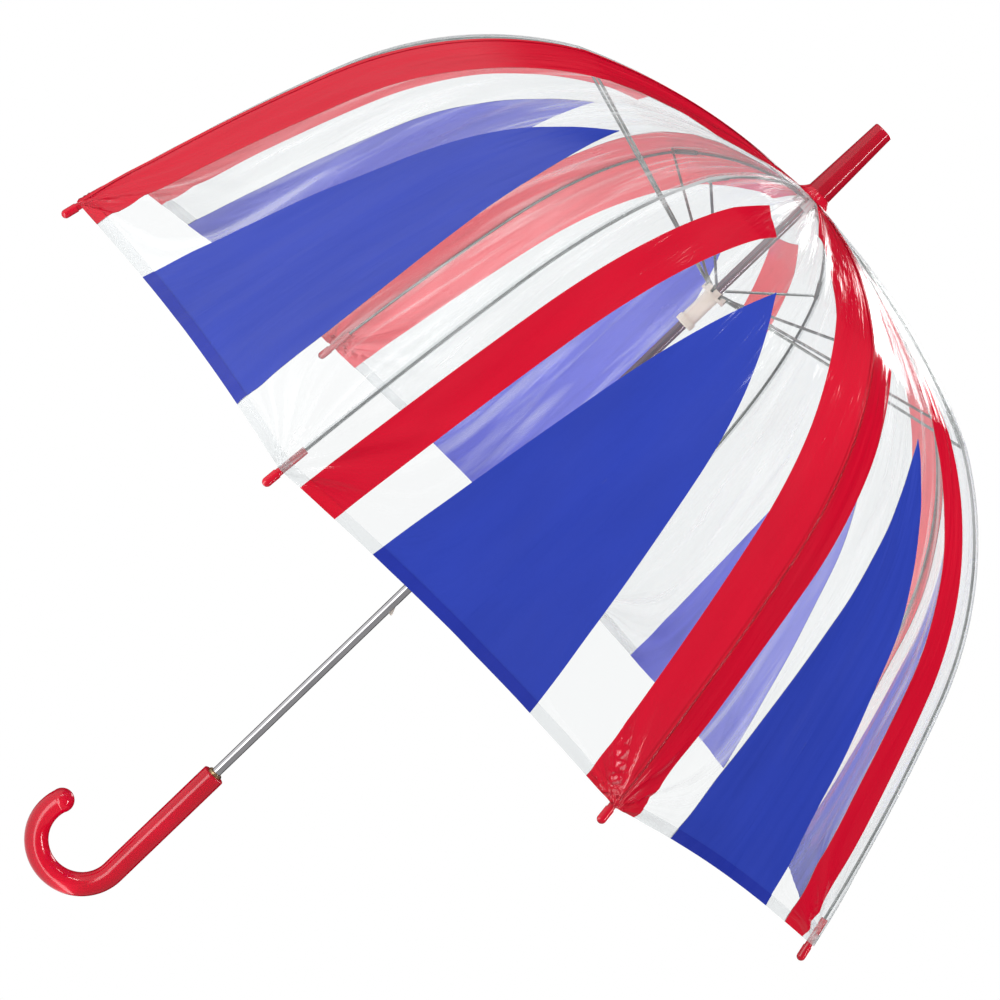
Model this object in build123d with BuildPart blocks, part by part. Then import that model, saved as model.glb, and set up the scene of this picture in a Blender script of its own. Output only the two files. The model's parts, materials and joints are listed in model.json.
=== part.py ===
"""Clear bubble umbrella, open: a dome of eight film panels on eight bending ribs, pushed out by
stretchers from a sliding runner, on a tubular shaft with a crook handle and a tapered ferrule.

Millimetres, +Z up along the shaft, ferrule up. The origin is the middle of the straight grip,
on the shaft's axis. The crook turns towards -X.
"""

from build123d import *
from math import atan2, cos, degrees, hypot, radians, sin, sqrt, tan
import os

os.makedirs("parts", exist_ok=True)

# ---- driving dimensions -------------------------------------------------------------------
rib_count = 8
first_azimuth = -155.5  # where rib 1 stands, degrees from +X
pitch = 360 / rib_count

grip_length = 115.0  # straight stretch of the handle
handle_radius = 9.75
crook_radius = 36.0  # bend of the crook's centre line
crook_angle = 200.0
handle_end_radius = 10.0
rim_height = 324.0  # plane of the eight rib ends
dome_rise = 388.0  # rib pivots above the rim plane
rim_radius = 421.0
elbow_rise = 0.8814 * dome_rise  # where the stretchers meet the ribs
elbow_radius = 0.5344 * rim_radius
waist_rise = 0.4948 * dome_rise  # middle of each rib's lower half
waist_radius = 0.848 * rim_radius
runner_rise = 0.7423 * dome_rise  # stretcher pivots above the rim plane, umbrella open
runner_travel = 345.0

shaft_radius = 4.0
shaft_wall = 0.7
wire_radius = 1.1  # ribs and stretchers
inner_turn = 24.0  # bend of each rib length, degrees
middle_turn = 39.0
outer_turn = 8.0
bend_gap = 0.5  # each wire stops this far short of the point where the rib bends
sleeve_radius = 1.9  # clip that joins a stretcher to its rib
sleeve_length = 30.0
film_thickness = 0.3
film_gap = 0.45  # film to sleeve
scallop = 6.0  # how far the hem rises between two ribs

notch_radius = 11.5
notch_wire_circle = 8.0  # circle on which the ribs pivot
crown_radius = 11.3
crown_wire_circle = 8.0  # circle on which the stretchers pivot
ring_wire_radius = 0.5
eye_radius = 2.0
eye_width = 2.0
slot_clearance = 0.35
run_clearance = 0.3  # runner on shaft
fit_clearance = 0.04  # parts fixed on the shaft
runner_radius = 6.6
runner_length = 38.0
collar_radius = 7.8
collar_height = 6.0

ferrule_length = 75.0
ferrule_base_radius = 10.4
ferrule_tip_radius = 8.3
ferrule_bore_depth = 48.0
cap_radius = 17.0
cap_thickness = 1.4
socket_depth = 45.0  # shaft in the handle
ring_height = 5.0
ring_radius = 6.2

tip_radius = 2.8
tip_ball_radius = 3.4
tip_inside = 22.0
tip_outside = 15.0
tip_bore_clearance = 0.3
ball_start = 2.5  # ball beyond the hem

catch_depth = 1.2
catch_width = 2.0
catch_clearance = 0.1  # lever inside the bore
catch_lever = 24.0
wedge_length = 9.0
wedge_reach = 6.3  # from the shaft's axis
window_clearance = 0.4
catch_offset = 13.0  # catch below the stretcher pivots


# ---- derived places -----------------------------------------------------------------------
handle_top = grip_length / 2
pivot_z = rim_height + dome_rise
runner_z = rim_height + runner_rise
pivot = (notch_wire_circle, pivot_z)
elbow = (elbow_radius, rim_height + elbow_rise)
waist = (waist_radius, rim_height + waist_rise)
rim = (rim_radius, rim_height)
crown_pivot = (crown_wire_circle, runner_z)
side_step = sleeve_radius + 0.3 + wire_radius + 0.3  # stretcher beside its rib
film_offset = (sleeve_radius + film_gap) / cos(radians(pitch / 2))
film_rise_at_shaft = 3.8
cap_z = pivot_z + film_rise_at_shaft + film_thickness + 0.3
ferrule_z = cap_z + cap_thickness
catch_z = runner_z - catch_offset
closed_catch_z = catch_z - runner_travel


def arc_point(start, end, turn, share, lift=0.0):
    """Point at a share of the outward arc from start to end that turns this many degrees."""
    chord = hypot(end[0] - start[0], end[1] - start[1])
    radius = chord / 2 / sin(radians(turn / 2))
    fall = degrees(atan2(start[1] - end[1], end[0] - start[0]))
    slope = radians(fall + turn * (share - 0.5))
    first = radians(fall - turn / 2)
    x = start[0] + radius * (sin(slope) - sin(first)) + lift * sin(slope)
    z = start[1] - radius * (cos(first) - cos(slope)) + lift * cos(slope)
    return (x, z)


def shortened(start, end, turn, cut_start, cut_end):
    """Three points of the same arc with a length cut off each end."""
    chord = hypot(end[0] - start[0], end[1] - start[1])
    length = chord / 2 / sin(radians(turn / 2)) * radians(turn)
    low = cut_start / length
    high = 1 - cut_end / length
    return [arc_point(start, end, turn, share) for share in (low, (low + high) / 2, high)]


def save(part, name):
    part.label = name
    export_step(part, f"parts/{name}.step")


def save_around(part, name, offset=0.0):
    """One copy of a part at each rib's azimuth."""
    for number in range(rib_count):
        copy = part.rotate(Axis.Z, first_azimuth + offset + pitch * number)
        save(copy, f"{name}_{number + 1}")


# ---- shaft, with a window for each catch --------------------------------------------------
shaft_bottom = handle_top - socket_depth
shaft_top = ferrule_z + ferrule_bore_depth
window_height = wedge_length + 2 * window_clearance
with BuildPart() as shaft:
    with BuildSketch(Plane.XY.offset(shaft_bottom)):
        Circle(shaft_radius)
        Circle(shaft_radius - shaft_wall, mode=Mode.SUBTRACT)
    extrude(amount=shaft_top - shaft_bottom)
    for height in (catch_z, closed_catch_z):
        with BuildSketch(Plane.XY.offset(height - window_height / 2)):
            with Locations((shaft_radius, 0)):
                Rectangle(2 * shaft_radius, catch_width + 2 * window_clearance)
        extrude(amount=window_height, mode=Mode.SUBTRACT)
save(shaft.part, "shaft")

# ---- crook handle -------------------------------------------------------------------------
with BuildPart() as handle:
    with BuildLine(Plane.XZ) as crook:
        Line((0, handle_top), (0, -handle_top))
        CenterArc((-crook_radius, -handle_top), crook_radius, 0, -crook_angle)
    with BuildSketch(Plane.XY.offset(handle_top)):
        Circle(handle_radius)
    sweep(path=crook.wire())
    turned = radians(crook_angle)
    end_x = crook_radius * (cos(turned) - 1)
    end_z = -handle_top - crook_radius * sin(turned)
    with Locations((end_x, 0, end_z)):
        Sphere(handle_end_radius)
    with BuildSketch(Plane.XY.offset(handle_top)):
        Circle(shaft_radius + fit_clearance)
    extrude(amount=-socket_depth, mode=Mode.SUBTRACT)
    with BuildSketch(Plane.XY.offset(handle_top)):
        Circle(ring_radius)
    extrude(amount=-ring_height / 2, mode=Mode.SUBTRACT)
    rim_edges = handle.edges().group_by(Axis.Z)[-1].sort_by(SortBy.RADIUS)
    fillet(rim_edges[-1], radius=1.2)
save(handle.part, "handle")

with BuildPart() as handle_ring:
    with BuildSketch(Plane.XY.offset(handle_top - ring_height / 2)):
        Circle(ring_radius - fit_clearance)
        Circle(shaft_radius + fit_clearance, mode=Mode.SUBTRACT)
    extrude(amount=ring_height)
    chamfer(handle_ring.edges().group_by(Axis.Z)[-1].sort_by(SortBy.RADIUS)[-1], length=0.6)
save(handle_ring.part, "handle_ring")

# ---- ferrule and the gathered cap under it ------------------------------------------------
with BuildPart() as ferrule:
    with BuildSketch(Plane.XY.offset(ferrule_z)):
        Circle(ferrule_base_radius)
    with BuildSketch(Plane.XY.offset(ferrule_z + ferrule_length)):
        Circle(ferrule_tip_radius)
    loft()
    fillet(ferrule.edges().group_by(Axis.Z)[-1], radius=1.6)
    with BuildSketch(Plane.XY.offset(ferrule_z)):
        Circle(shaft_radius + fit_clearance)
    extrude(amount=ferrule_bore_depth + fit_clearance, mode=Mode.SUBTRACT)
save(ferrule.part, "ferrule")

with BuildPart() as film_cap:
    with BuildSketch(Plane.XY.offset(cap_z)):
        Circle(cap_radius)
        Circle(shaft_radius + fit_clearance, mode=Mode.SUBTRACT)
    extrude(amount=cap_thickness)
    chamfer(film_cap.edges().group_by(Axis.Z)[-1].sort_by(SortBy.RADIUS)[-1], length=0.5)
save(film_cap.part, "film_cap")


# ---- notch and runner crown: slotted discs, each with its wire ring -----------------------
def wire_ring(circle, height, wire):
    """A ring of wire about the shaft."""
    with BuildPart() as ring:
        with BuildSketch(Plane.XZ):
            with Locations((circle, height)):
                Circle(wire)
        revolve(axis=Axis.Z)
    return ring.part


slot_width = eye_width + 2 * slot_clearance
slot_inner = eye_radius + slot_clearance
slot_reach = 2 * crown_radius
notch_top = pivot_z + film_rise_at_shaft - 0.5
notch_bottom = pivot_z - 7.0
with BuildPart() as top_notch:
    with BuildSketch(Plane.XY.offset(notch_bottom)):
        Circle(notch_radius)
        Circle(shaft_radius + fit_clearance, mode=Mode.SUBTRACT)
    extrude(amount=notch_top - notch_bottom)
    slot_top = pivot_z + eye_radius + slot_clearance
    with BuildSketch(Plane.XY.offset(slot_top)):
        with PolarLocations(notch_wire_circle - slot_inner + slot_reach / 2, rib_count, first_azimuth):
            Rectangle(slot_reach, slot_width)
    extrude(amount=notch_bottom - slot_top, mode=Mode.SUBTRACT)
    add(wire_ring(notch_wire_circle, pivot_z, ring_wire_radius + 0.05), mode=Mode.SUBTRACT)
save(top_notch.part, "top_notch")
save(wire_ring(notch_wire_circle, pivot_z, ring_wire_radius), "notch_wire")

crown_bottom = runner_z - eye_radius - slot_clearance - 2.5
crown_top = runner_z + eye_radius
runner_bottom = crown_top - runner_length
with BuildPart() as runner:
    with BuildSketch(Plane.XY.offset(runner_bottom)):
        Circle(runner_radius)
    extrude(amount=runner_length)
    with BuildSketch(Plane.XY.offset(crown_bottom)):
        Circle(crown_radius)
    extrude(amount=crown_top - crown_bottom)
    with BuildSketch(Plane.XY.offset(runner_bottom)):
        Circle(collar_radius)
    extrude(amount=collar_height)
    fillet(runner.edges().group_by(Axis.Z)[0], radius=1.0)
    with BuildSketch(Plane.XY.offset(runner_bottom)):
        Circle(shaft_radius + run_clearance)
    extrude(amount=runner_length, mode=Mode.SUBTRACT)
    slot_floor = runner_z - eye_radius - slot_clearance
    with BuildSketch(Plane.XY.offset(slot_floor)):
        with PolarLocations(crown_wire_circle - slot_inner + slot_reach / 2, rib_count, first_azimuth):
            Rectangle(slot_reach, slot_width)
    extrude(amount=crown_top - slot_floor, mode=Mode.SUBTRACT)
    add(wire_ring(crown_wire_circle, runner_z, ring_wire_radius + 0.05), mode=Mode.SUBTRACT)
    with BuildSketch(Plane.XY.offset(catch_z - window_height / 2)):
        with Locations((shaft_radius + 3, 0)):
            Rectangle(8.0, catch_width + 2 * window_clearance)
    extrude(amount=window_height, mode=Mode.SUBTRACT)
save(runner.part, "runner")
save(wire_ring(crown_wire_circle, runner_z, ring_wire_radius), "runner_wire")


# ---- catch springs: a lever inside the shaft with a wedge through the window --------------
def catch(height, ramp):
    """ramp is -1 where the runner comes from below, 1 where it comes from above."""
    bore = shaft_radius - shaft_wall
    inner = sqrt(bore**2 - (catch_width / 2) ** 2) - catch_depth - catch_clearance
    far = height + ramp * catch_lever
    blunt = height - ramp * wedge_length / 2
    sloped = height + ramp * wedge_length / 2
    with BuildPart() as lever:
        with BuildSketch(Plane.XZ):
            with BuildLine():
                Polyline(
                    (inner, far),
                    (inner, blunt),
                    (wedge_reach, blunt),
                    (wedge_reach, blunt + ramp * 2),
                    (inner + catch_depth, sloped),
                    (inner + catch_depth, far),
                    close=True,
                )
            make_face()
        extrude(amount=catch_width / 2, both=True)
    return lever.part


save(catch(catch_z, -1), "top_catch")
save(catch(closed_catch_z, 1), "bottom_catch")


# ---- ribs: three bending lengths each -----------------------------------------------------
def wire_along(points, radius):
    """Round wire along the arc through three (radius, height) points."""
    with BuildPart() as wire:
        with BuildLine(Plane.XZ) as path:
            ThreePointArc(*points)
        with BuildSketch(Plane(origin=path.line @ 0, z_dir=path.line % 0)):
            Circle(radius)
        sweep(path=path.line)
    return wire.part


def eye(centre):
    """Flat eye about a ring wire."""
    with BuildPart() as flat:
        with BuildSketch(Plane.XZ):
            with Locations(centre):
                Circle(eye_radius)
                Circle(ring_wire_radius + 0.3, mode=Mode.SUBTRACT)
        extrude(amount=eye_width / 2, both=True)
    return flat.part


eye_reach = eye_radius - 0.4
inner_points = shortened(pivot, elbow, inner_turn, eye_reach, bend_gap)
sleeve_points = shortened(
    pivot, elbow, inner_turn, hypot(elbow[0] - pivot[0], elbow[1] - pivot[1]) - sleeve_length, 1.6
)
with BuildPart() as rib_inner:
    add(wire_along(inner_points, wire_radius))
    add(eye(pivot))
    add(wire_along(sleeve_points, sleeve_radius))
save_around(rib_inner.part, "rib_inner")

with BuildPart() as rib_middle:
    add(wire_along(shortened(elbow, waist, middle_turn, bend_gap, bend_gap), wire_radius))
save_around(rib_middle.part, "rib_middle")

outer_points = shortened(waist, rim, outer_turn, bend_gap, 0)
with BuildPart() as rib_outer:
    add(wire_along(outer_points, wire_radius))
save_around(rib_outer.part, "rib_outer")

# ---- rib tips: a socket inside the hem, a waist and a ball outside it ----------------------
slope = radians(degrees(atan2(waist[1] - rim[1], rim[0] - waist[0])) + outer_turn / 2)
tip_plane = Plane(origin=(rim[0], 0, rim[1]), x_dir=(0, 1, 0), z_dir=(cos(slope), 0, -sin(slope)))
with BuildPart() as rib_tip:
    with BuildSketch(tip_plane.offset(-tip_inside)):
        Circle(tip_radius)
    extrude(amount=tip_inside + tip_outside - tip_ball_radius)
    with BuildSketch(tip_plane.offset(ball_start)):
        Circle(tip_ball_radius)
    extrude(amount=tip_outside - tip_ball_radius - ball_start)
    with Locations(tip_plane.offset(tip_outside - tip_ball_radius)):
        Sphere(tip_ball_radius)
    with BuildSketch(tip_plane.offset(-tip_inside)):
        Circle(wire_radius + tip_bore_clearance)
    extrude(amount=tip_inside + 0.2, mode=Mode.SUBTRACT)
save_around(rib_tip.part, "rib_tip")

# ---- stretchers: from the runner's crown to a pin beside each rib's sleeve ----------------
reach = hypot(elbow[0] - crown_pivot[0], elbow[1] - crown_pivot[1])
rise = degrees(atan2(elbow[1] - crown_pivot[1], elbow[0] - crown_pivot[0]))
step_start = 7.0
step_end = 19.0


def beside(along, aside):
    """Point a distance along the stretcher, aside from its rib's plane."""
    return (
        crown_pivot[0] + along * cos(radians(rise)),
        aside,
        crown_pivot[1] + along * sin(radians(rise)),
    )


with BuildPart() as stretcher:
    with BuildLine() as route:
        FilletPolyline(
            beside(eye_reach, 0),
            beside(step_start, 0),
            beside(step_end, side_step),
            beside(reach, side_step),
            radius=12.0,
        )
    with BuildSketch(Plane(origin=route.line @ 0, z_dir=route.line % 0)):
        Circle(wire_radius)
    sweep(path=route.wire())
    add(eye(crown_pivot))
    with Locations(beside(reach, side_step)):
        Sphere(wire_radius)
    with BuildSketch(Plane(origin=beside(reach, side_step), z_dir=(0, -1, 0))):
        Circle(0.8)
    extrude(amount=side_step - sleeve_radius - 0.3)
save_around(stretcher.part, "stretcher")

# ---- canopy panels: each is flat from rib to rib and curved from shaft to hem --------------
half_pitch = radians(pitch / 2)


def film_line(lift):
    """Points of the film over a rib, from the shaft to the hem, drawn in the panel's middle plane."""
    line = [(shaft_radius + 0.8, pivot_z + film_rise_at_shaft + lift)]
    line.append((notch_radius + 2, pivot_z + film_rise_at_shaft - 0.3 + lift))
    for start, end, turn, shares in (
        (pivot, elbow, inner_turn, (0.2, 0.45, 0.7, 0.95)),
        (elbow, waist, middle_turn, (0.2, 0.5, 0.8)),
        (waist, rim, outer_turn, (0.05, 0.35, 0.62)),
    ):
        line += [arc_point(start, end, turn, share, film_offset + lift) for share in shares]
    over_tip = (tip_radius + film_gap) / cos(half_pitch) + lift
    line += [arc_point(waist, rim, outer_turn, share, over_tip) for share in (0.85, 1.0)]
    return [(x * cos(half_pitch), z) for x, z in line]


inner_line = film_line(0)
outer_line = film_line(film_thickness)
half_width = (rim_radius + 10) * sin(half_pitch)
with BuildPart() as panel:
    with BuildSketch(Plane.XZ):
        with BuildLine():
            inside = Spline(*inner_line)
            outside = Spline(*outer_line)
            Line(inside @ 0, outside @ 0)
            Line(inside @ 1, outside @ 1)
        make_face()
    extrude(amount=half_width + 10, both=True)
    with BuildSketch(Plane.XY.offset(rim_height - 20)):
        wide = 1.2 * rim_radius
        Polygon((0, 0), (wide, -wide * tan(half_pitch)), (wide, wide * tan(half_pitch)), align=None)
    extrude(amount=dome_rise + 60, mode=Mode.INTERSECT)
    hem_z = inner_line[-1][1]
    with BuildSketch(Plane.YZ):
        with BuildLine():
            ThreePointArc((-half_width, hem_z), (0, hem_z + scallop), (half_width, hem_z))
            Polyline(
                (half_width, hem_z),
                (half_width, hem_z - 30),
                (-half_width, hem_z - 30),
                (-half_width, hem_z),
            )
        make_face()
    extrude(amount=rim_radius + 30, mode=Mode.SUBTRACT)
save_around(panel.part, "panel", pitch / 2)
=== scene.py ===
"""Clear bubble umbrella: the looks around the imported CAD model. Metres, in the CAD frame."""

import json
import math

import bpy
from mathutils import Matrix, Vector, noise


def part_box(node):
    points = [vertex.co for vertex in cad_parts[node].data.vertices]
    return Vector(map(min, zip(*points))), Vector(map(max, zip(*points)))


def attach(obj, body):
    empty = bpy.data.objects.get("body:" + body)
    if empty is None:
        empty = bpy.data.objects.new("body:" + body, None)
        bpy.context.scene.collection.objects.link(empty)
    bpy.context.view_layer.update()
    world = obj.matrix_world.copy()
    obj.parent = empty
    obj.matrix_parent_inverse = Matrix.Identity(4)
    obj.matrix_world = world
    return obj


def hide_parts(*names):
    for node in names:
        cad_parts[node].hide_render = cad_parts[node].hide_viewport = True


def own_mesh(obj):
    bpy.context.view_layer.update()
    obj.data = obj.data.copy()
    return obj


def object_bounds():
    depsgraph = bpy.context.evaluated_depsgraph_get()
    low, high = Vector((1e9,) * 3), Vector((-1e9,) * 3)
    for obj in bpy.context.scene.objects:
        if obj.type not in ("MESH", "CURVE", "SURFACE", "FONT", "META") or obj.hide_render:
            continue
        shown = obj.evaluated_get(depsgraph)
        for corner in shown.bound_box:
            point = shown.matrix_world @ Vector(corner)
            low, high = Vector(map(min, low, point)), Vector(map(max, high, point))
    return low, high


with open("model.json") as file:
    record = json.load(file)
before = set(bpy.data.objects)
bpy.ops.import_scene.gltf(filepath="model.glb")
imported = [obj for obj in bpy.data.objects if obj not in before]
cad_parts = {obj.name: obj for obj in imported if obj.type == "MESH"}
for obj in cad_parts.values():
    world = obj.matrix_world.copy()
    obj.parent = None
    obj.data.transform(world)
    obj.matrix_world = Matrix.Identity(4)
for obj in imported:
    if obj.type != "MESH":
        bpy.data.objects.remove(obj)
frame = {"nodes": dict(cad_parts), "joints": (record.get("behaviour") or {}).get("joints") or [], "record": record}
cad_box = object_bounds()
record = frame["record"]
joint_at = {j["name"]: Vector(j["pos_m"]) for j in frame["joints"] if "pos_m" in j}

# ---- the frame's own geometry, as the CAD has it ------------------------------------------
RIBS = 8
PITCH = 2 * math.pi / RIBS
COS_HALF = math.cos(PITCH / 2)
SIN_HALF = math.sin(PITCH / 2)
RIM_RADIUS = 0.421
RIM_HEIGHT = 0.324
TURNS = {"inner": math.radians(24), "middle": math.radians(39), "outer": math.radians(8)}
FIRST = math.atan2(joint_at["rib_pivot_1"].y, joint_at["rib_pivot_1"].x)


def in_plane(point):
    """(radius, height) of a point."""
    return (math.hypot(point.x, point.y), point.z)


PIVOT = in_plane(joint_at["rib_pivot_1"])
ELBOW = in_plane(joint_at["rib_elbow_1"])
WAIST = in_plane(joint_at["rib_bend_1"])
RIM = (RIM_RADIUS, RIM_HEIGHT)
LENGTHS = {"inner": (PIVOT, ELBOW), "middle": (ELBOW, WAIST), "outer": (WAIST, RIM)}
ORDER = ("inner", "middle", "outer")


def arc_length(name):
    start, end = LENGTHS[name]
    chord = math.dist(start, end)
    return chord / 2 / math.sin(TURNS[name] / 2) * TURNS[name]


ARC = {name: arc_length(name) for name in ORDER}
STARTS = {"inner": 0.0, "middle": ARC["inner"], "outer": ARC["inner"] + ARC["middle"]}
RIB_LENGTH = sum(ARC.values())


def rib_point(name, along, lift=0.0):
    """(radius, height) at a distance along one rib length, lifted outwards."""
    start, end = LENGTHS[name]
    turn = TURNS[name]
    radius = math.dist(start, end) / 2 / math.sin(turn / 2)
    fall = math.atan2(start[1] - end[1], end[0] - start[0])
    first = fall - turn / 2
    slope = first + turn * along / ARC[name]
    x = start[0] + radius * (math.sin(slope) - math.sin(first)) + lift * math.sin(slope)
    z = start[1] - radius * (math.cos(first) - math.cos(slope)) + lift * math.cos(slope)
    return (x, z)


def azimuth(rib):
    return FIRST + PITCH * rib


def smooth(low, high, x):
    t = min(1.0, max(0.0, (x - low) / (high - low)))
    return t * t * (3 - 2 * t)


# ---- camera -------------------------------------------------------------------------------
CAMERA_PLACE = Vector((-0.2058, -2.6439, 0.6474))
CAMERA_TARGET = Vector((0.0005, 0.0052, 0.3756))
CAMERA_ROLL = math.radians(46.15)
camera_data = bpy.data.cameras.new("camera")
camera_data.lens = 121.44
camera_data.sensor_width = 36.0
camera = bpy.data.objects.new("camera", camera_data)
bpy.context.scene.collection.objects.link(camera)
look = (CAMERA_TARGET - CAMERA_PLACE).to_track_quat("-Z", "Y").to_matrix().to_4x4()
roll = Matrix.Rotation(CAMERA_ROLL, 4, "Z")
camera.matrix_world = Matrix.Translation(CAMERA_PLACE) @ look @ roll
bpy.context.scene.camera = camera
bpy.context.scene.view_settings.view_transform = "Standard"

# ---- stage: white floor, pale studio world, softboxes -------------------------------------
LIGHT_SIDE = Vector((-0.997, 0.076, -0.014))  # up and left in the photo
BEHIND = Vector((0.077, 0.992, -0.102))


def tree_of(owner):
    owner.use_nodes = True
    owner.node_tree.nodes.clear()
    return owner.node_tree.nodes, owner.node_tree.links


def toward(nodes, links, direction, stops):
    """Grey ramp over how far a ray points in a direction: -1 at 0, 1 at 1."""
    coords = nodes.new("ShaderNodeTexCoord")
    dot = nodes.new("ShaderNodeVectorMath")
    dot.operation = "DOT_PRODUCT"
    dot.inputs[1].default_value = direction
    scale = nodes.new("ShaderNodeMath")
    scale.operation = "MULTIPLY_ADD"
    scale.inputs[1].default_value = 0.5
    scale.inputs[2].default_value = 0.5
    links.new(coords.outputs["Generated"], dot.inputs[0])
    links.new(dot.outputs["Value"], scale.inputs[0])
    ramp = nodes.new("ShaderNodeValToRGB")
    for i, (place, value) in enumerate(stops):
        if i < 2:
            stop = ramp.color_ramp.elements[i]
            stop.position = place
        else:
            stop = ramp.color_ramp.elements.new(place)
        stop.color = (value, value, value, 1)
    links.new(scale.outputs[0], ramp.inputs[0])
    return ramp.outputs[0]


def make_world():
    """White to the eye, soft from above for shading, and banded in reflections."""
    world = bpy.data.worlds.new("studio")
    bpy.context.scene.world = world
    nodes, links = tree_of(world)
    out = nodes.new("ShaderNodeOutputWorld")
    path = nodes.new("ShaderNodeLightPath")
    seen = nodes.new("ShaderNodeBackground")
    seen.inputs["Color"].default_value = (1, 1, 1, 1)
    lit = nodes.new("ShaderNodeBackground")
    lit.inputs["Strength"].default_value = 0.86
    links.new(toward(nodes, links, Vector((0, 0, 1)), ((0.2, 0.62), (0.8, 1.0))), lit.inputs["Color"])
    shown = nodes.new("ShaderNodeBackground")
    side_stops = ((0.05, 0.10), (0.3, 0.22), (0.74, 0.30), (0.80, 1.0), (1.0, 1.0))
    bands = toward(nodes, links, LIGHT_SIDE, side_stops)
    away = toward(nodes, links, BEHIND, ((0.55, 1.0), (0.8, 0.12)))
    both = nodes.new("ShaderNodeVectorMath")
    both.operation = "MULTIPLY"
    links.new(bands, both.inputs[0])
    links.new(away, both.inputs[1])
    links.new(both.outputs[0], shown.inputs["Color"])
    first = nodes.new("ShaderNodeMixShader")
    links.new(path.outputs["Is Glossy Ray"], first.inputs[0])
    links.new(lit.outputs[0], first.inputs[1])
    links.new(shown.outputs[0], first.inputs[2])
    second = nodes.new("ShaderNodeMixShader")
    links.new(path.outputs["Is Camera Ray"], second.inputs[0])
    links.new(first.outputs[0], second.inputs[1])
    links.new(seen.outputs[0], second.inputs[2])
    links.new(second.outputs[0], out.inputs[0])


def mapped(nodes, links, source, low, high, new_low, new_high):
    span = nodes.new("ShaderNodeMapRange")
    span.inputs["From Min"].default_value = low
    span.inputs["From Max"].default_value = high
    span.inputs["To Min"].default_value = new_low
    span.inputs["To Max"].default_value = new_high
    links.new(source, span.inputs["Value"])
    return span.outputs[0]


def softbox(name, place, aim, width, height, watts, seen=True):
    data = bpy.data.lights.new(name, "AREA")
    data.shape = "RECTANGLE"
    data.size = width
    data.size_y = height
    data.energy = watts
    lamp = bpy.data.objects.new(name, data)
    bpy.context.scene.collection.objects.link(lamp)
    lamp.visible_camera = seen
    turn = (Vector(aim) - Vector(place)).to_track_quat("-Z", "Y").to_matrix().to_4x4()
    lamp.matrix_world = Matrix.Translation(Vector(place)) @ turn


# What the floor gives to reflections, by direction from the shaft: (direction, cosine where it
# starts, cosine where it is full, strength).
FLOOR_BANDS = (
    ((-0.077, -0.992, 0), -0.6, -0.3, 0.42),
    ((-0.93, -0.37, 0), 0.55, 0.70, 0.55),
    ((-0.56, -0.83, 0), 0.975, 0.99, 4.0),
)


def make_floor():
    mesh = bpy.data.meshes.new("floor")
    size = 6.0
    height = cad_box[0][2] - 0.002
    mesh.from_pydata(
        [(-size, -size, height), (size, -size, height), (size, size, height), (-size, size, height)],
        [],
        [(0, 1, 2, 3)],
    )
    floor = bpy.data.objects.new("floor", mesh)
    bpy.context.scene.collection.objects.link(floor)
    paint = bpy.data.materials.new("floor_white")
    nodes, links = tree_of(paint)
    out = nodes.new("ShaderNodeOutputMaterial")
    glow = nodes.new("ShaderNodeEmission")
    glow.inputs["Color"].default_value = (1, 1, 1, 1)
    path = nodes.new("ShaderNodeLightPath")
    place = nodes.new("ShaderNodeNewGeometry")
    level = nodes.new("ShaderNodeVectorMath")
    level.operation = "MULTIPLY"
    level.inputs[1].default_value = (1, 1, 0)
    away = nodes.new("ShaderNodeVectorMath")
    away.operation = "NORMALIZE"
    links.new(place.outputs["Position"], level.inputs[0])
    links.new(level.outputs[0], away.inputs[0])
    total = None
    for direction, low, high, strength in FLOOR_BANDS:
        dot = nodes.new("ShaderNodeVectorMath")
        dot.operation = "DOT_PRODUCT"
        dot.inputs[1].default_value = direction
        links.new(away.outputs[0], dot.inputs[0])
        band = mapped(nodes, links, dot.outputs["Value"], low, high, 0.0, strength)
        if total is None:
            total = band
        else:
            add = nodes.new("ShaderNodeMath")
            links.new(total, add.inputs[0])
            links.new(band, add.inputs[1])
            total = add.outputs[0]
    power = nodes.new("ShaderNodeMix")
    power.inputs[3].default_value = 1.0
    links.new(path.outputs["Is Camera Ray"], power.inputs[0])
    links.new(total, power.inputs[2])
    links.new(power.outputs[0], glow.inputs["Strength"])
    links.new(glow.outputs[0], out.inputs[0])
    mesh.materials.append(paint)


make_world()
make_floor()
softbox("key", (-1.6, -1.5, 1.9), (0.0, 0.0, 0.4), 0.28, 1.4, 15)
softbox("side", (1.8, -1.25, 1.2), (0.15, -0.33, 0.5), 0.13, 1.5, 17)
softbox("strip", (2.1, -1.2, 1.8), (0.0, 0.0, 0.45), 0.14, 1.3, 13)
softbox("top", (-0.5, -0.6, 2.6), (0.0, 0.0, 0.5), 0.25, 0.9, 8)
softbox("back", (0.6, 2.0, 1.6), (0.0, 0.0, 0.4), 0.5, 1.2, 12)
softbox("inside", (0.0, -0.02, 0.345), (0.1, 0.2, 0.9), 0.45, 0.45, 0.8, False)


# ---- materials ----------------------------------------------------------------------------
def noise_node(nodes, links, scale, detail):
    """A noise in the piece's own coordinates."""
    coords = nodes.new("ShaderNodeTexCoord")
    texture = nodes.new("ShaderNodeTexNoise")
    texture.inputs["Scale"].default_value = scale
    texture.inputs["Detail"].default_value = detail
    links.new(coords.outputs["Object"], texture.inputs["Vector"])
    return texture.outputs["Fac"]


def ramped(nodes, links, source, low, high, low_color, high_color):
    ramp = nodes.new("ShaderNodeValToRGB")
    ramp.color_ramp.elements[0].position = low
    ramp.color_ramp.elements[0].color = low_color
    ramp.color_ramp.elements[1].position = high
    ramp.color_ramp.elements[1].color = high_color
    links.new(source, ramp.inputs[0])
    return ramp.outputs[0]


def grey(value):
    return (value, value, value, 1)


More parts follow.
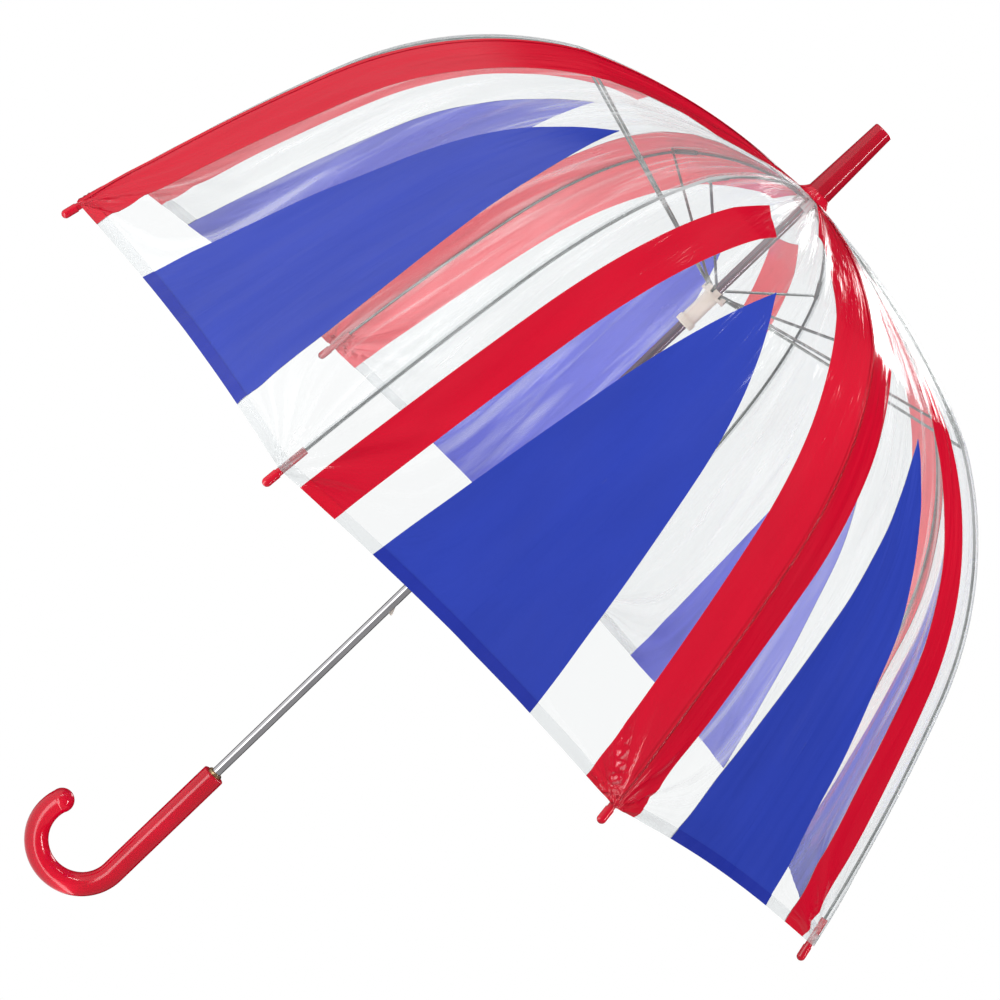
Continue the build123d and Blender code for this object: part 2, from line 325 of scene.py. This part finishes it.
def add_bump(nodes, links, shader, height, strength, distance):
    bump = nodes.new("ShaderNodeBump")
    bump.inputs["Strength"].default_value = strength
    bump.inputs["Distance"].default_value = distance
    links.new(height, bump.inputs["Height"])
    links.new(bump.outputs[0], shader.inputs["Normal"])


def shaft_paint():
    """Chrome plate, dull and darker above the hem: painted shade and a painted reflection of the film's colours,
    where the canopy lies over it.
    """
    paint = solid("chrome", (0.50, 0.49, 0.51), (0.62, 0.61, 0.63), 40, (0.08, 0.18), (0.04, 0.0002), 1.0)
    nodes, links = paint.node_tree.nodes, paint.node_tree.links
    shader = next(n for n in nodes if n.type == "BSDF_PRINCIPLED")
    plain = shader.inputs["Base Color"].links[0].from_socket
    coords = nodes.new("ShaderNodeTexCoord")
    split = nodes.new("ShaderNodeSeparateXYZ")
    links.new(coords.outputs["Object"], split.inputs[0])
    # Painted shade and painted reflection: the base colour turns purple grey from z 0.36 to 0.44 m, inside the
    # canopy.
    shade = nodes.new("ShaderNodeValToRGB")
    shade.color_ramp.elements[0].position = 0.36
    shade.color_ramp.elements[0].color = (1, 1, 1, 1)
    shade.color_ramp.elements[1].position = 0.44
    shade.color_ramp.elements[1].color = (0.42, 0.33, 0.37, 1)
    links.new(split.outputs["Z"], shade.inputs[0])
    painted_shade_tint = nodes.new("ShaderNodeVectorMath")
    painted_shade_tint.operation = "MULTIPLY"
    links.new(plain, painted_shade_tint.inputs[0])
    links.new(shade.outputs[0], painted_shade_tint.inputs[1])
    links.new(painted_shade_tint.outputs[0], shader.inputs["Base Color"])
    return paint


def solid(name, low, high, scale, rough, bump, metallic=0.0):
    """A moulded or plated surface: colour and gloss vary a little, with a fine bump."""
    paint = bpy.data.materials.new(name)
    nodes, links = tree_of(paint)
    out = nodes.new("ShaderNodeOutputMaterial")
    shader = nodes.new("ShaderNodeBsdfPrincipled")
    shader.inputs["Metallic"].default_value = metallic
    pattern = noise_node(nodes, links, scale, 3.0)
    links.new(ramped(nodes, links, pattern, 0.3, 0.7, (*low, 1), (*high, 1)), shader.inputs["Base Color"])
    wear = noise_node(nodes, links, scale * 2.7, 2.0)
    gloss = ramped(nodes, links, wear, 0.3, 0.75, grey(rough[0]), grey(rough[1]))
    links.new(gloss, shader.inputs["Roughness"])
    fine = noise_node(nodes, links, scale * 6, 2.0)
    add_bump(nodes, links, shader, fine, bump[0], bump[1])
    links.new(shader.outputs[0], out.inputs[0])
    return paint


def lay_noise(nodes, links, scale, detail, along, distortion=0.0):
    """A noise drawn out along the film's own wrinkles, which run down the ribs and into the tips."""
    lay = nodes.new("ShaderNodeAttribute")
    lay.attribute_name = "lay"
    mapping = nodes.new("ShaderNodeMapping")
    mapping.inputs["Scale"].default_value = (1, along, 1)
    texture = nodes.new("ShaderNodeTexNoise")
    texture.inputs["Scale"].default_value = scale
    texture.inputs["Detail"].default_value = detail
    texture.inputs["Distortion"].default_value = distortion
    links.new(lay.outputs["Vector"], mapping.inputs["Vector"])
    links.new(mapping.outputs["Vector"], texture.inputs["Vector"])
    return texture.outputs["Fac"]


def film(name, tint, body, cover, rough, edge, crease=0.0018):
    """Soft film: cover is its least and most hiding share, spread over streaks down the wrinkles, which on clear
    film are partly milky film and partly painted highlight, and edge adds to it where it is seen edge on.
    """
    paint = bpy.data.materials.new(name)
    nodes, links = tree_of(paint)
    out = nodes.new("ShaderNodeOutputMaterial")
    through = nodes.new("ShaderNodeBsdfTransparent")
    through.inputs["Color"].default_value = (*tint, 1)
    shine = nodes.new("ShaderNodeBsdfPrincipled")
    shine.inputs["IOR"].default_value = 1.5 if max(cover) > 0.9 else 2.2
    cloud = lay_noise(nodes, links, 22, 4.0, 0.4)
    low = tuple(0.9 * x for x in body)
    links.new(ramped(nodes, links, cloud, 0.3, 0.7, (*low, 1), (*body, 1)), shine.inputs["Base Color"])
    haze = lay_noise(nodes, links, 30, 4.0, 0.3)
    links.new(mapped(nodes, links, haze, 0.3, 0.7, *rough), shine.inputs["Roughness"])
    coarse = lay_noise(nodes, links, 48, 3.0, 0.10, 0.4)
    fine = lay_noise(nodes, links, 170, 4.0, 0.14, 0.8)
    first = nodes.new("ShaderNodeBump")
    first.inputs["Strength"].default_value = 0.8
    first.inputs["Distance"].default_value = crease
    links.new(coarse, first.inputs["Height"])
    second = nodes.new("ShaderNodeBump")
    second.inputs["Strength"].default_value = 0.7
    second.inputs["Distance"].default_value = crease * 0.28
    links.new(fine, second.inputs["Height"])
    links.new(first.outputs[0], second.inputs["Normal"])
    links.new(second.outputs[0], shine.inputs["Normal"])
    rim = nodes.new("ShaderNodeLayerWeight")
    rim.inputs["Blend"].default_value = 0.2
    strength = mapped(nodes, links, rim.outputs["Facing"], 0.0, 1.0, 0.0, edge)
    # Streaks that set the cover: on clear film partly milky film, partly painted highlight along the wrinkles.
    milk_and_sheen_streak = lay_noise(nodes, links, 85, 5.0, 0.07, 0.5)
    milk_and_sheen = mapped(nodes, links, milk_and_sheen_streak, 0.50, 0.74, *cover)
    total = nodes.new("ShaderNodeMath")
    total.operation = "ADD"
    total.use_clamp = True
    links.new(strength, total.inputs[0])
    links.new(milk_and_sheen, total.inputs[1])
    mix = nodes.new("ShaderNodeMixShader")
    links.new(total.outputs[0], mix.inputs[0])
    links.new(through.outputs[0], mix.inputs[1])
    links.new(shine.outputs[0], mix.inputs[2])
    links.new(mix.outputs[0], out.inputs[0])
    return paint


RED = (0.53, 0.0, 0.018)
BLUE = (0.020, 0.043, 0.36)
clear_film = film("clear_film", (0.915, 0.928, 0.93), (0.93, 0.94, 0.945), (0.05, 0.34), (0.05, 0.16), 0.5)
clear_hem = film("clear_hem", (0.87, 0.885, 0.89), (0.88, 0.89, 0.895), (0.14, 0.36), (0.08, 0.2), 0.5)
red_film = film("red_film", (0.9, 0.1, 0.12), RED, (0.98, 1.0), (0.07, 0.2), 0.05)
blue_film = film("blue_film", (0.1, 0.12, 0.7), BLUE, (0.98, 1.0), (0.07, 0.2), 0.05)
red_hem = film("red_hem", (0.7, 0.05, 0.06), (0.54, 0.0, 0.016), (0.98, 1.0), (0.1, 0.25), 0.05)
blue_hem = film("blue_hem", (0.1, 0.1, 0.5), (0.012, 0.026, 0.30), (0.98, 1.0), (0.1, 0.25), 0.05)
# Backs of the prints, seen through the far side: lighter colours than the fronts, painted light that stands in for
# light coming through the translucent print.
red_back_lit_through = film("red_back_lit_through", (0.95, 0.4, 0.42), (0.86, 0.06, 0.085), (0.99, 0.80), (0.12, 0.3), 0.1)
blue_back_lit_through = film("blue_back_lit_through", (0.42, 0.46, 0.86), (0.10, 0.115, 0.64), (0.99, 0.80), (0.12, 0.3), 0.1)
FILMS = {"clear": clear_film, "red": red_film, "blue": blue_film}
HEMS = {"clear": clear_hem, "red": red_hem, "blue": blue_hem}
BACKS = {"red": red_back_lit_through, "blue": blue_back_lit_through}

GLOSSY = {"scale": 30, "rough": (0.10, 0.18), "bump": (0.03, 0.0001)}
red_plastic = solid("red_plastic", (0.47, 0.0, 0.013), (0.55, 0.0, 0.018), **GLOSSY)
deep_red_plastic = solid("deep_red_plastic", (0.32, 0.0, 0.010), (0.39, 0.0, 0.014), **GLOSSY)
chrome = shaft_paint()
wire = solid("wire", (0.10, 0.115, 0.11), (0.20, 0.215, 0.205), 90, (0.25, 0.42), (0.12, 0.0002), 0.9)
nylon = solid("nylon", (0.60, 0.55, 0.46), (0.70, 0.65, 0.56), 60, (0.38, 0.52), (0.15, 0.0003))
notch_nylon = solid("notch_nylon", (0.50, 0.50, 0.49), (0.62, 0.62, 0.61), 60, (0.35, 0.5), (0.15, 0.0003))
catch_nylon = solid("catch_nylon", (0.42, 0.39, 0.33), (0.54, 0.50, 0.43), 80, (0.32, 0.48), (0.12, 0.0003))
brass = solid("brass", (0.30, 0.21, 0.10), (0.46, 0.34, 0.18), 120, (0.28, 0.45), (0.15, 0.0002), 1.0)

NODE_PAINT = {
    "shaft": chrome,
    "handle": red_plastic,
    "handle_ring": brass,
    "ferrule": deep_red_plastic,
    "top_notch": notch_nylon,
    "notch_wire": wire,
    "runner": nylon,
    "runner_wire": wire,
    "top_catch": catch_nylon,
    "bottom_catch": catch_nylon,
}
for number in range(1, RIBS + 1):
    for family in ("rib_inner", "rib_middle", "rib_outer", "stretcher"):
        NODE_PAINT[f"{family}_{number}"] = wire
    NODE_PAINT[f"rib_tip_{number}"] = red_plastic
for name, paint in NODE_PAINT.items():
    mesh = frame["nodes"][name].data
    mesh.materials.clear()
    mesh.materials.append(paint)


def piece_from(name, points, faces, paints, kinds, normals=None, lays=None):
    """A mesh object from points and faces, with one paint per face."""
    mesh = bpy.data.meshes.new(name)
    mesh.from_pydata(points, [], faces)
    for paint in paints:
        mesh.materials.append(paint)
    mesh.polygons.foreach_set("material_index", kinds)
    mesh.polygons.foreach_set("use_smooth", [True] * len(faces))
    if lays:
        lay = mesh.attributes.new("lay", "FLOAT_VECTOR", "POINT")
        lay.data.foreach_set("vector", [x for spot in lays for x in spot])
    if normals:
        mesh.normals_split_custom_set_from_vertices(normals)
    piece = bpy.data.objects.new(name, mesh)
    bpy.context.scene.collection.objects.link(piece)
    return piece


# ---- canopy film: one curved sheet, printed in straight-edged shapes ----------------------
FILM_THICKNESS = 0.0003
FILM_LIFT = 0.00262  # off the ribs' centre lines, clear of the sleeves
TIP_LIFT = 0.00370  # over the rib tips
TOP_LIFT = 0.0039  # over the notch
TOP_EASE = (0.004, 0.035)  # from the pivots, where the lift changes
TIP_EASE = (0.075, 0.03)  # from the hem
BLUE_APEX = 0.258  # distance from the rib pivots
BLUE_EDGE = (0.098, 0.086)  # from the rib, at the apex and at the hem
BAR_TOP = 0.166  # distance from the rib pivots
BAR_SLANT = 0.041  # how much lower its far edge starts
BAR_SLANT_REACH = 0.058
BAR_NEAR = (0.029, 0.0184)  # its edges from the rib, at its top and at the hem
BAR_FAR = (0.059, 0.050)
STRIPE_HALF = (0.037, 0.029)  # red stripe along every other rib, at the apex and at the hem
STRIPE_SHARE = 0.39  # its most, as a share of the gore's width
PRINT_GAP = 0.0002  # least width of a band, so that no face is flat
SCALLOP_START = 0.45  # distance from the rib pivots where rows begin to rise
MIDDLES = {0: (0.578, 0.54), 1: (0.52, 0.4975), 2: (0.49, 0.4975)}  # of the blue, at apex and hem
SCALLOP = 0.006  # how far the hem rises between two ribs
HEM_WIDTH = 0.009
PULL_IN = 0.0045  # sag of the film between two ribs
WAVE = 0.0022  # broad waves between the ribs
PUCKER = 0.0009  # finer ones, beside the welds
GATHER = 0.0022  # folds drawn together at the crown
FAN = 0.0019  # folds that spread from each rib tip


def along_gore(s):
    """0 at the blue apex, 1 at the hem."""
    return (s - BLUE_APEX) / (RIB_LENGTH - BLUE_APEX)


def mix_pair(pair, t):
    return pair[0] + (pair[1] - pair[0]) * t


def rib_line(s, lift):
    """(radius, height) of the film over a rib at a distance from the pivots."""
    for name in ORDER:
        if s <= STARTS[name] + ARC[name] + 1e-9 or name == "outer":
            return rib_point(name, s - STARTS[name], lift)


def film_lift(s):
    lift = FILM_LIFT + (TOP_LIFT - FILM_LIFT) * (1 - smooth(*TOP_EASE, s))
    return lift + (TIP_LIFT - FILM_LIFT) * smooth(RIB_LENGTH - TIP_EASE[0], RIB_LENGTH - TIP_EASE[1], s)


def gore_width(s):
    return 2 * rib_line(s, film_lift(s))[0] * SIN_HALF


def ripple(gore, across, s, width):
    """How far the film stands off its flat panel: it is pulled in between the ribs and puckers."""
    share = across / width
    fade = math.sin(math.pi * share)
    near_rib = min(share, 1 - share) * width
    rib = gore if share < 0.5 else gore + 1
    offset = -PULL_IN * fade * smooth(0.0, 0.12, s)
    spot = Vector((share * 9 + gore * 7.3, s * 4.5, gore * 3.1))
    offset += WAVE * fade * noise.noise(spot) * smooth(0.02, 0.12, s)
    spot = Vector((share * 26 + gore * 5.7, s * 10.0, gore * 1.7))
    offset += PUCKER * min(1.0, near_rib / 0.02) * noise.noise(spot) * smooth(0.03, 0.1, s)
    gather = math.exp(-s / 0.06) * smooth(0.006, 0.03, s)
    offset += GATHER * gather * fade * math.sin(share * math.pi * 9 + gore * 1.9 + 2 * noise.noise(spot))
    down = RIB_LENGTH - s
    reach = math.hypot(near_rib, down)
    turn = math.atan2(near_rib, down + 0.002)
    fan = math.exp(-reach / 0.075) * min(1.0, near_rib / 0.008) * (1 - (2 * near_rib / width) ** 2)
    spot = Vector((turn * 3, reach * 9, rib * 2.3 + share))
    offset += FAN * fan * math.sin(turn * 13 + rib * 2.1 + 2.5 * noise.noise(spot))
    return offset


def wrinkle_way(gore, across, s):
    """Coordinates whose first value stays the same down a wrinkle."""
    width = gore_width(s)
    share = across / width
    near = min(share, 1 - share)
    down = RIB_LENGTH - s
    reach = math.hypot(near * width, down)
    weight = math.exp(-((reach / 0.10) ** 2))
    line = near * 0.32 * (1 - weight) + math.atan2(near * width, down + 0.004) * 0.1 * weight
    return (line if share < 0.5 else 0.32 - line, s, gore * 1.37)


def film_place(gore, across, s, lift=0.0):
    """Point of the film in a gore, at a distance across it from its first rib."""
    radius, height = rib_line(s, film_lift(s))
    width = 2 * radius * SIN_HALF
    share = across / width
    first, second = azimuth(gore), azimuth(gore + 1)
    a = Vector((radius * math.cos(first), radius * math.sin(first), height))
    b = Vector((radius * math.cos(second), radius * math.sin(second), height))
    middle = (first + second) / 2
    low = rib_line(max(0.0, s - 0.002), 0)
    high = rib_line(min(RIB_LENGTH, s + 0.002), 0)
    run = Vector(((high[0] - low[0]) * COS_HALF, high[1] - low[1])).normalized()
    out = Vector((-run.y * math.cos(middle), -run.y * math.sin(middle), run.x))
    return a.lerp(b, share) + out * (ripple(gore, across, s, width) + lift)


def film_normal(gore, across, s):
    step = 0.0015
    width = gore_width(s)
    left = film_place(gore, max(0.0, across - step), s)
    right = film_place(gore, min(width, across + step), s)
    up = film_place(gore, across, max(0.0, s - step))
    down = film_place(gore, across, min(RIB_LENGTH, s + step))
    return (down - up).cross(right - left).normalized()


def has_bar(rib, side):
    """The narrow red bar stands beside each clear rib, on the side of the third or seventh rib."""
    return (rib, side) in ((1, 1), (3, -1), (5, 1), (7, -1))


def edges_at(rib, side, s):
    """Distances from the rib of the print's edges, from the rib to the middle of the blue."""
    width = gore_width(s)
    gore = rib if side > 0 else (rib - 1) % RIBS
    t = along_gore(s)
    share = mix_pair(MIDDLES.get(gore, (0.5, 0.5)), max(0.0, t))
    half = width * (share if side > 0 else 1 - share)
    if t > 0:
        blue = half - max(PRINT_GAP, width / 2 - mix_pair(BLUE_EDGE, t))
    else:
        blue = half - (PRINT_GAP + 0.06 * width * smooth(0, 0.1, -t))
    if rib % 2 == 0:
        stripe = min(mix_pair(STRIPE_HALF, max(0.0, t)), STRIPE_SHARE * width)
        return [0.0, stripe, blue, half]
    if has_bar(rib, side):
        t_bar = (s - BAR_TOP) / (RIB_LENGTH - BAR_TOP)
        near = min(mix_pair(BAR_NEAR, max(0.0, t_bar)), 0.24 * width)
        far = min(mix_pair(BAR_FAR, max(0.0, t_bar)), 0.40 * width, blue - 0.0015)
        return [0.0, near, far, blue, half]
    return [0.0, blue, half]


def colours_at(rib, side, s):
    last = "blue" if s > BLUE_APEX else "clear"
    if rib % 2 == 0:
        return ["red", "clear", last]
    if has_bar(rib, side):
        return ["clear", "red" if s > BAR_TOP else "clear", "clear", last]
    return ["clear", last]


CELL = 0.0045  # side of the film's mesh


def rows_of(name):
    """Distances of the rows of one rib length, with a row at each end of a printed shape."""
    low, high = STARTS[name], STARTS[name] + ARC[name]
    stops = [low] + [x for x in (BAR_TOP, BLUE_APEX) if low < x < high] + [high]
    rows = [low]
    for start, end in zip(stops, stops[1:]):
        count = max(2, round((end - start) / CELL))
        rows += [start + (end - start) * i / count for i in range(1, count + 1)]
    return rows


def half_gore(rib, side, name, lift, wanted, rows=None):
    """(points, normals, lays, faces, colours) of the film on one side of one rib length."""
    gore = rib if side > 0 else (rib - 1) % RIBS
    rows = rows or rows_of(name)
    bands = len(colours_at(rib, side, rows[-1]))
    widest = [0.0] * bands
    for s in rows:
        edges = edges_at(rib, side, s)
        widest = [max(m, b - a) for m, a, b in zip(widest, edges, edges[1:])]
    counts = [max(1, round(m / CELL)) for m in widest]
    columns = [(0, 0.0)] + [(band, i / n) for band, n in enumerate(counts) for i in range(1, n + 1)]
    points, normals, lays, faces, colours = [], [], [], [], []
    for s in rows:
        edges = edges_at(rib, side, s)
        for band, part in columns:
            place_s = s
            if has_bar(rib, side):
                from_rib = edges[band] + (edges[band + 1] - edges[band]) * part
                share = min(1.0, max(0.0, (from_rib - BAR_NEAR[0]) / (BAR_FAR[0] - BAR_NEAR[0])))
                place_s += BAR_SLANT * share * max(0.0, 1 - abs(s - BAR_TOP) / BAR_SLANT_REACH)
            here = edges_at(rib, side, place_s)
            width = gore_width(place_s)
            from_rib = here[band] + (here[band + 1] - here[band]) * part
            place_s -= SCALLOP * math.sin(math.pi * from_rib / width) * smooth(SCALLOP_START, RIB_LENGTH, s)
            new_width = gore_width(place_s)
            from_rib *= new_width / width
            across = from_rib if side > 0 else new_width - from_rib
            points.append(film_place(gore, across, place_s, lift))
            normals.append(film_normal(gore, across, place_s))
            lays.append(wrinkle_way(gore, across, place_s))
    for i, s in enumerate(rows[:-1]):
        kinds = colours_at(rib, side, (s + rows[i + 1]) / 2)
        for column, (band, _) in enumerate(columns[1:]):
            if kinds[band] in wanted:
                a = i * len(columns) + column
                quad = (a, a + 1, a + len(columns) + 1, a + len(columns))
                faces.append(quad[::-1] if side > 0 else quad)
                colours.append(kinds[band])
    return points, normals, lays, faces, colours


def sheet_piece(name, rib, side, length, lift, palette, rows=None):
    """A piece of the film, in the colours that palette holds."""
    points, normals, lays, faces, colours = half_gore(rib, side, length, lift, set(palette), rows)
    if not faces:
        return None
    used = sorted({v for face in faces for v in face})
    index = {v: i for i, v in enumerate(used)}
    faces = [[index[v] for v in face] for face in faces]
    points, normals, lays = ([values[v] for v in used] for values in (points, normals, lays))
    names = sorted(set(colours))
    kinds = [names.index(c) for c in colours]
    piece = piece_from(name, points, faces, [palette[n] for n in names], kinds, normals, lays)
    return piece


def fold_axis(rib, side, length):
    """Across the gore from the rib, square to the rib length's chord."""
    turn = azimuth(rib)
    gore_turn = turn + side * PITCH / 2
    chord = Vector((-side * math.sin(gore_turn), side * math.cos(gore_turn), 0))
    start, end = LENGTHS[length]
    spread = end[0] - start[0]
    down = Vector((spread * math.cos(turn), spread * math.sin(turn), end[1] - start[1]))
    down.normalize()
    return (chord - down * chord.dot(down)).normalized()


SIDES = {1: "right", -1: "left"}
BACK_LIFT = -0.0004
HEM_LIFT = 0.0004
HEM_ROWS = 3


def cover(rib, length, side):
    """The film, its print's back and its hem on one side of one rib length."""
    label = f"{length}_{rib + 1}_{SIDES[side]}"
    body = f"rib_{length}_{rib + 1}"
    sheet = sheet_piece(f"film_{label}", rib, side, length, 0.0, FILMS)
    extras = [sheet_piece(f"print_back_{label}", rib, side, length, BACK_LIFT, BACKS)]
    if length == "outer":
        rows = [RIB_LENGTH - HEM_WIDTH + HEM_WIDTH * i / HEM_ROWS for i in range(HEM_ROWS + 1)]
        extras.append(sheet_piece(f"hem_{label}", rib, side, length, HEM_LIFT, HEMS, rows))
    extras = [piece for piece in extras if piece]
    axis = fold_axis(rib, side, length)
    for piece in [sheet, *extras]:
        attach(piece, body)
        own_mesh(piece)
    if side > 0:
        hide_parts(f"panel_{rib + 1}")


def make_canopy():
    for rib in range(RIBS):
        for length in ORDER:
            for side in SIDES:
                cover(rib, length, side)


make_canopy()

# ---- welded seam over each rib ------------------------------------------------------------
SEAM_HALF = 0.0026
SEAM_LIFT = 0.0005


def make_seam(rib, length):
    left = (rib - 1) % RIBS
    rows = rows_of(length)
    points, normals, lays, faces = [], [], [], []
    for s in rows:
        width = gore_width(s)
        half = min(SEAM_HALF, 0.2 * width)
        before = [(left, width - half), (left, width - half / 2)]
        spots = before + [(rib, 0.0), (rib, half / 2), (rib, half)]
        for gore, across in spots:
            points.append(film_place(gore, across, s, SEAM_LIFT))
            normals.append(film_normal(gore, across, s))
            lays.append(wrinkle_way(gore, across, s))
    wide = len(spots)
    for i in range(len(rows) - 1):
        for j in range(wide - 1):
            a = i * wide + j
            faces.append((a + wide, a + wide + 1, a + 1, a))
    paint = red_hem if rib % 2 == 0 else clear_hem
    name = f"seam_{length}_{rib + 1}"
    seam = piece_from(name, points, faces, [paint], [0] * len(faces), normals, lays)
    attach(seam, f"rib_{length}_{rib + 1}")


def make_seams():
    for rib in range(RIBS):
        for length in ORDER:
            make_seam(rib, length)


make_seams()


# ---- short covers where a rib bends, so that the wire runs on -----------------------------
BEND_RADIUS = 0.00112  # a little over the wire's own
BALL_AROUND = 14
BALL_DOWN = 8


def make_bend(name, centre, body):
    points, faces = [], []
    for i in range(BALL_DOWN + 1):
        polar = math.pi * i / BALL_DOWN
        for j in range(BALL_AROUND):
            turn = 2 * math.pi * j / BALL_AROUND
            level = math.sin(polar)
            spot = Vector((level * math.cos(turn), level * math.sin(turn), math.cos(polar)))
            points.append(centre + spot * BEND_RADIUS)
    for i in range(BALL_DOWN):
        for j in range(BALL_AROUND):
            a, b = i * BALL_AROUND + j, i * BALL_AROUND + (j + 1) % BALL_AROUND
            faces.append((a, a + BALL_AROUND, b + BALL_AROUND, b))
    piece = piece_from(name, points, faces, [wire], [0] * len(faces))
    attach(piece, body)


for number in range(1, RIBS + 1):
    make_bend(f"elbow_bend_{number}", joint_at[f"rib_elbow_{number}"], f"rib_middle_{number}")
    make_bend(f"waist_bend_{number}", joint_at[f"rib_bend_{number}"], f"rib_outer_{number}")


# ---- gathered cap under the ferrule -------------------------------------------------------
def make_cap():
    """Film drawn up round the ferrule's base in pleats, down on to the canopy."""
    low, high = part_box("film_cap")
    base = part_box("ferrule")[0][2]
    inner, outer = 0.0101, (high[0] - low[0]) / 2 - 0.0008
    rise, drop, pleat_depth, unevenness = 0.0055, 0.0017, 0.0005, 0.0006
    rings, around, pleats = 18, 224, 14
    points, lays, faces = [], [], []
    for i in range(rings + 1):
        t = i / rings
        for j in range(around):
            turn = 2 * math.pi * j / around
            pleat = math.sin(pleats * turn + 1.1 * math.sin(3 * turn) + 0.6 * math.sin(5 * turn + 1))
            radius = inner + (outer - inner) * t ** 0.9 + unevenness * t * math.sin(4 * turn + 0.7)
            depth = pleat_depth * pleat * math.sin(math.pi * min(1, 1.2 * t))
            height = base + rise * (1 - t) ** 2.2 - drop * t + depth
            points.append((radius * math.cos(turn), radius * math.sin(turn), height))
            lays.append((turn * 0.03, radius, 0.5))
    for i in range(rings):
        for j in range(around):
            a, b = i * around + j, i * around + (j + 1) % around
            faces.append((a, a + around, b + around, b))
    cap = piece_from("gathered_cap", points, faces, [red_film], [0] * len(faces), lays=lays)
    thick = cap.modifiers.new("thickness", "SOLIDIFY")
    thick.thickness = FILM_THICKNESS
    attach(cap, "root")
    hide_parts("film_cap")


make_cap()
